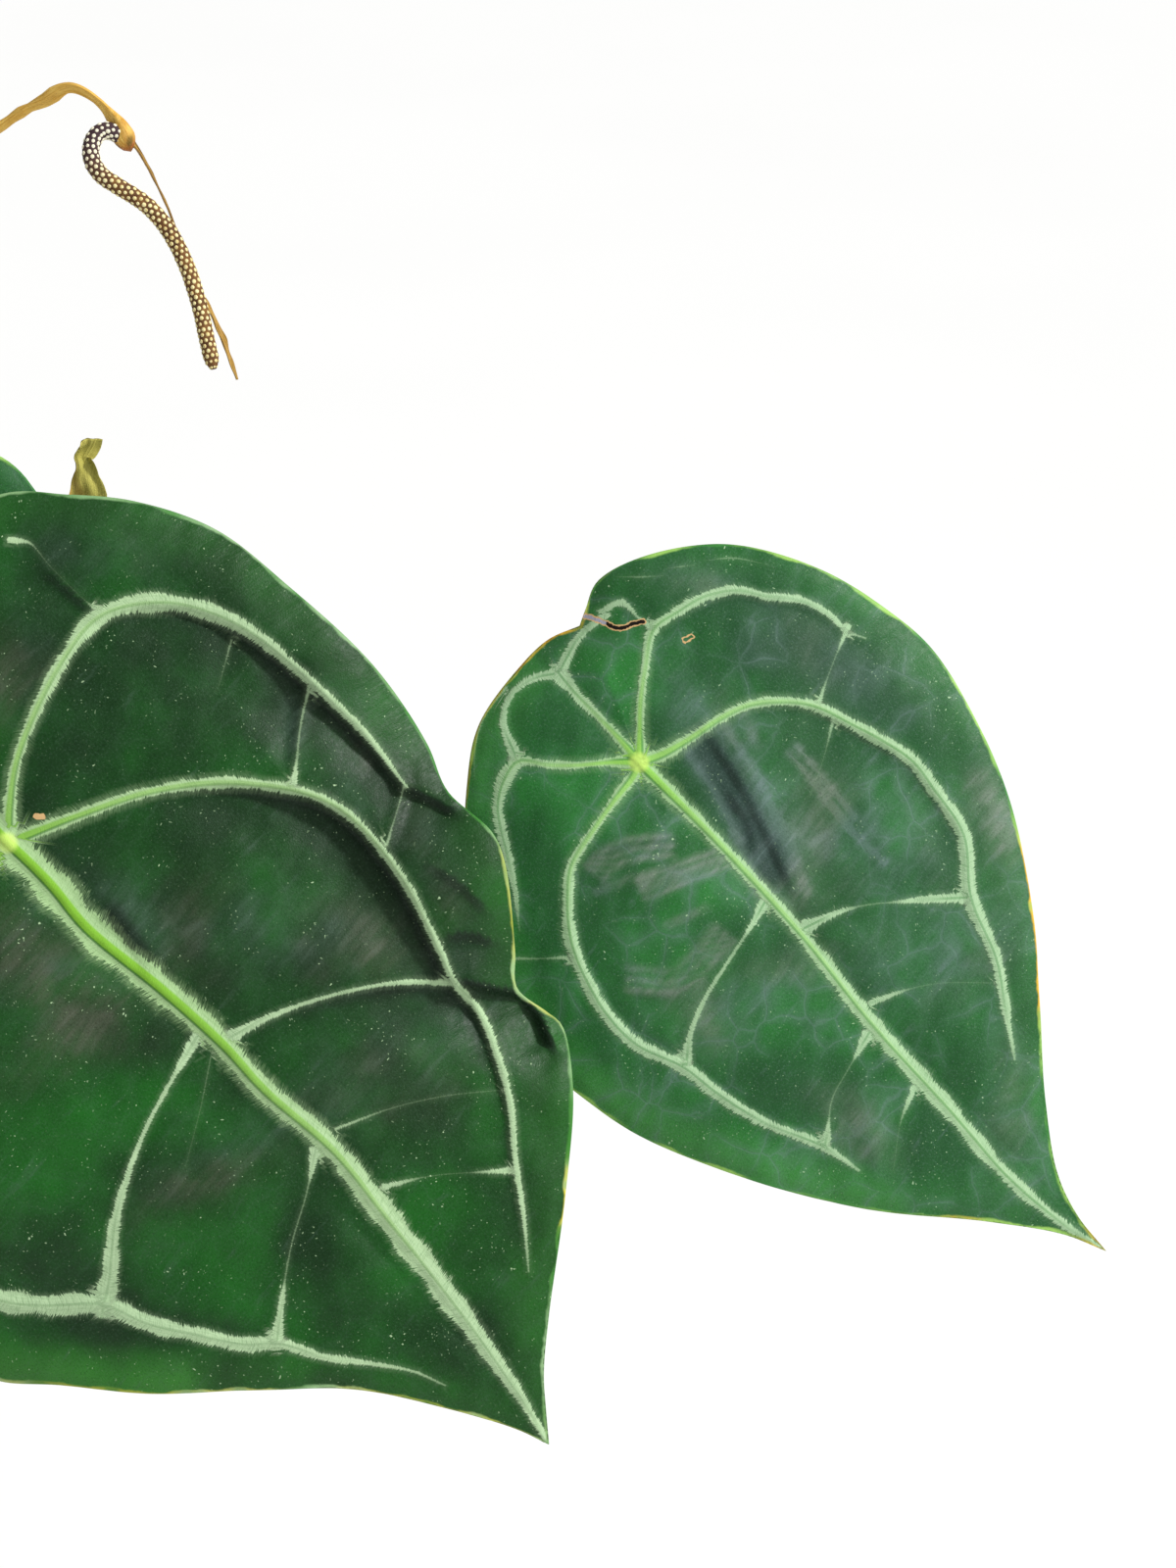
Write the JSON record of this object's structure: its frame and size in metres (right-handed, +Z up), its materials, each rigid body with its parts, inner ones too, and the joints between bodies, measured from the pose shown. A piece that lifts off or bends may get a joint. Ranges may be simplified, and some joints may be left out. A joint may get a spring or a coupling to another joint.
{
  "type": "potted dark forgetii anthurium",
  "caption": "Potted aroid with dark shield-shaped leaves, a pale raised vein net and withered drooping flower stalks, in a plain clay pot.",
  "frame": {"origin": "centre of the flat foot of the pot, on the surface it stands on", "axes": "+Z up, -Y towards the front of the plant, +X to the right when seen from the front"},
  "size_m": [0.5006, 0.2737, 0.5546],
  "materials": {
    "clay": "unglazed fired clay, chalky, with pale mineral bloom",
    "soil": "loose bark and peat mix with pale grit",
    "stem": "dull brown rind with ringed leaf scars and papery scales",
    "petiole": "smooth matt green stalk",
    "dark_blade": "velvety dark green with pale feathered veins",
    "green_blade": "velvety mid green with pale feathered veins",
    "young_blade": "soft fresh green with paler veins",
    "dried_stalk": "dry golden tan, wrinkled lengthwise",
    "dried_spathe": "withered olive-yellow to brown",
    "dried_spadix": "dark brown with small cream flower knobs"
  },
  "bodies": {
    "root": {"pot": "clay", "soil": "soil", "stem": "stem", "new_shoot": "petiole", "front_leaf_petiole": "petiole", "front_leaf_blade": "dark_blade", "right_leaf_petiole": "petiole", "right_leaf_blade": "green_blade", "left_rear_leaf_petiole": "petiole", "left_rear_leaf_blade": "green_blade", "left_leaf_petiole": "petiole", "left_leaf_blade": "dark_blade", "rear_leaf_petiole": "petiole", "rear_leaf_blade": "green_blade", "young_leaf_petiole": "petiole", "young_leaf_blade": "young_blade", "tall_flower_peduncle": "dried_stalk", "tall_flower_spadix": "dried_spadix", "tall_flower_spathe": "dried_spathe", "short_flower_peduncle": "dried_stalk", "short_flower_spadix": "dried_spadix", "short_flower_spathe": "dried_spathe"}
  },
  "joints": []
}
